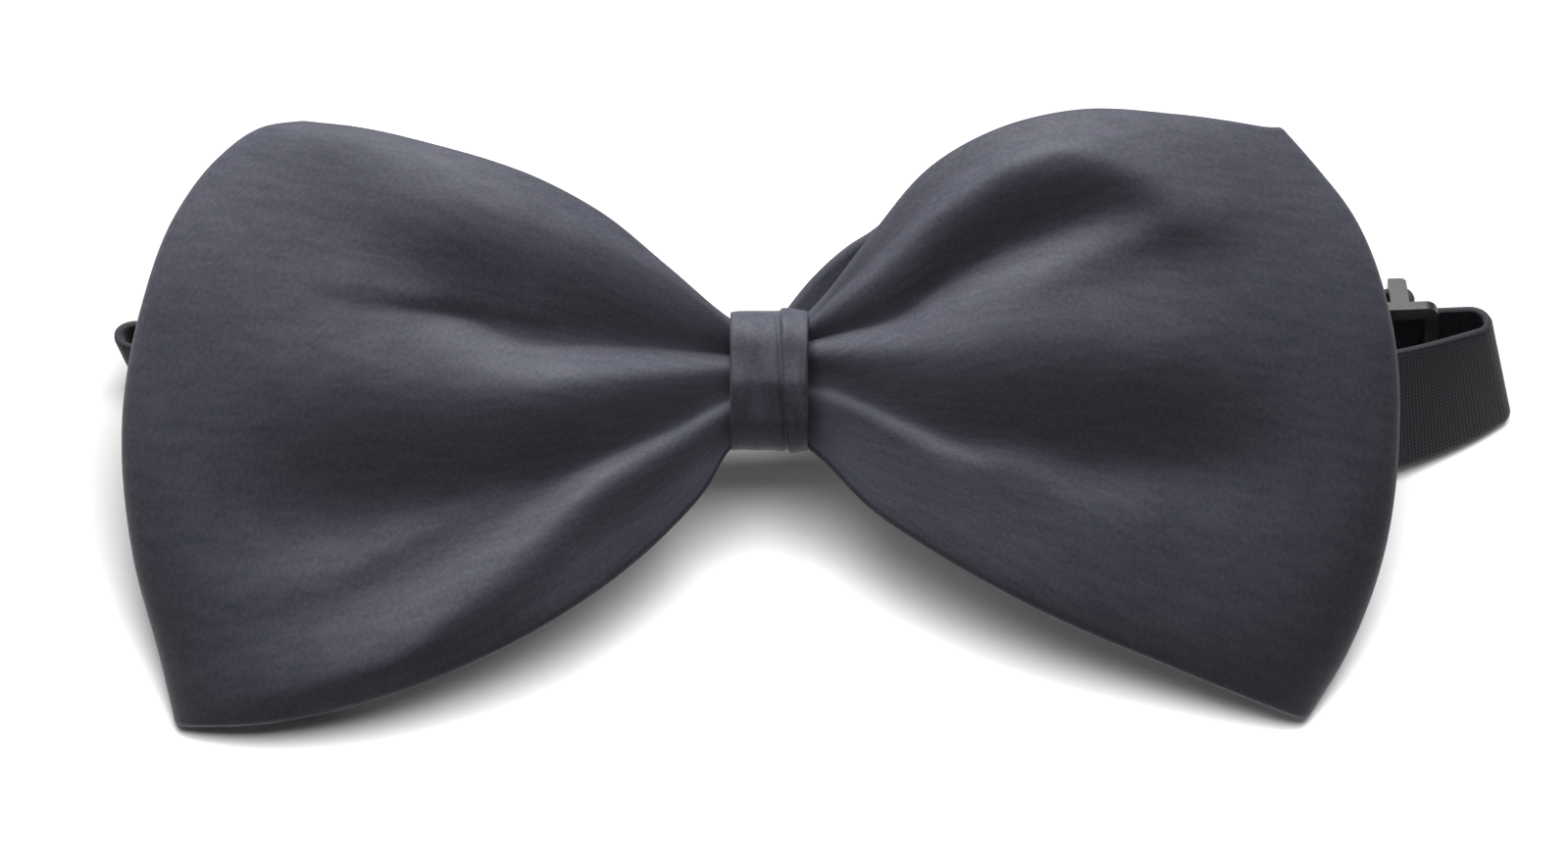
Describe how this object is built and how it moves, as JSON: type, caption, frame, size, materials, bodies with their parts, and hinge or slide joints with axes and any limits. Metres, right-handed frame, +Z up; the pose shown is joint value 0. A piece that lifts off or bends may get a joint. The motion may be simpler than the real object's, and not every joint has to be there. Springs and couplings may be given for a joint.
{
  "type": "bow tie",
  "caption": "Ready tied satin bow tie leaning on its folded neck strap, with a sliding adjuster and a hook and eye clasp behind the bow.",
  "frame": {"origin": "middle of the footprint, on the surface the bow tie rests on", "axes": "+Z up, +X along the bow's width towards the adjuster's end, -Y towards the viewer; the bow leans back towards +Y"},
  "size_m": [0.1352, 0.0564, 0.0526],
  "materials": {
    "satin": "charcoal satin, soft sheen",
    "interlining": "matt nonwoven",
    "thread": "spun polyester",
    "strap": "woven tape",
    "metal": "plated, slightly worn"
  },
  "bodies": {
    "bow": {"bow_satin": "satin", "left_interlining": "interlining", "right_interlining": "interlining", "waist_thread": "thread", "knot_band": "satin", "knot_lining": "interlining", "knot_stitches": "thread", "strap_front_run": "strap"},
    "long_strap": {"strap_right_bend": "strap", "strap_long_run": "strap", "strap_return_run": "strap"},
    "adjuster": {"adjuster_frame": "metal", "adjuster_hem": "strap", "adjuster_hem_stitches": "thread"},
    "hook": {"clasp_hook": "metal"},
    "short_strap": {"strap_left_bend": "strap", "strap_short_run": "strap", "eye_hem_stitches": "thread"},
    "eye": {"clasp_eye": "metal"}
  },
  "joints": [
    {"name": "right_strap_opens", "type": "hinge", "parent": "bow", "child": "long_strap", "pos_m": [0.06535, 0.02379, 0.00761], "axis": [0, 0, -1], "range_deg": [0, 140], "deforming": ["strap_right_bend"]},
    {"name": "left_strap_opens", "type": "hinge", "parent": "bow", "child": "short_strap", "pos_m": [-0.06535, 0.02159, 0.00761], "axis": [0, 0, 1], "range_deg": [0, 140], "deforming": ["strap_left_bend"]},
    {"name": "adjuster_slides", "type": "slide", "parent": "long_strap", "child": "adjuster", "axis": [-0.998, -0.0628, 0], "range_m": [0, 0.06], "deforming": ["strap_return_run"]},
    {"name": "hook_swivels", "type": "hinge", "parent": "long_strap", "child": "hook", "pos_m": [-0.03015, 0.02083, 0.00761], "axis": [0, 0, -1], "range_deg": [0, 100]},
    {"name": "eye_swivels", "type": "hinge", "parent": "short_strap", "child": "eye", "pos_m": [-0.04672, 0.01819, 0.00761], "axis": [0, 0, -1], "range_deg": [0, 60]}
  ],
  "couplings": [
    {"joint": "left_strap_opens", "follows": "right_strap_opens", "ratio": 1}
  ]
}
